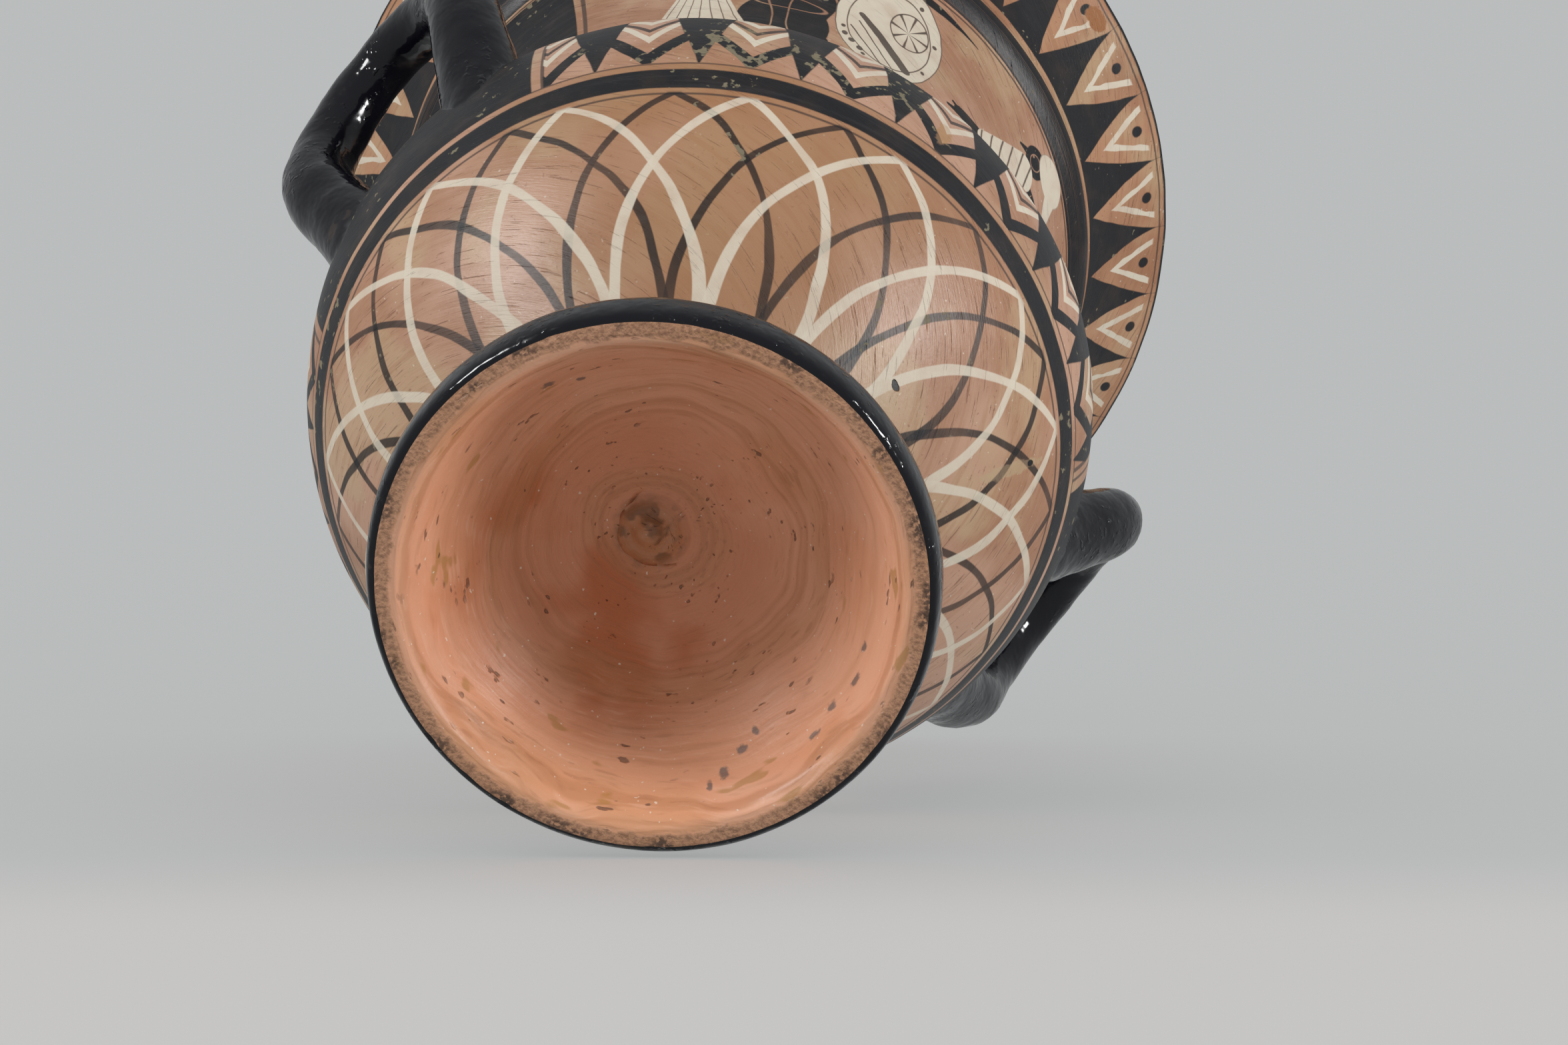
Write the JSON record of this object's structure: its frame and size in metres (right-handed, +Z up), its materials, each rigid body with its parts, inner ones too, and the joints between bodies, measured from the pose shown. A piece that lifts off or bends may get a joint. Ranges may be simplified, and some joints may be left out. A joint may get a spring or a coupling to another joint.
{
  "type": "terracotta krater",
  "caption": "Two-handled calyx krater in painted terracotta: deep hollow foot, rounded bowl, tall flaring wall, wide lip and a pair of upturned loop handles.",
  "frame": {"origin": "on the ground under the middle of the foot's resting ring", "axes": "+Z up along the vase's own axis; a loop handle on the +Y side and one on the -Y side"},
  "size_m": [0.3692, 0.3692, 0.502],
  "materials": {
    "krater": "burnished terracotta with painted black, white and brown slip"
  },
  "bodies": {
    "root": {"krater": "krater"}
  },
  "joints": []
}
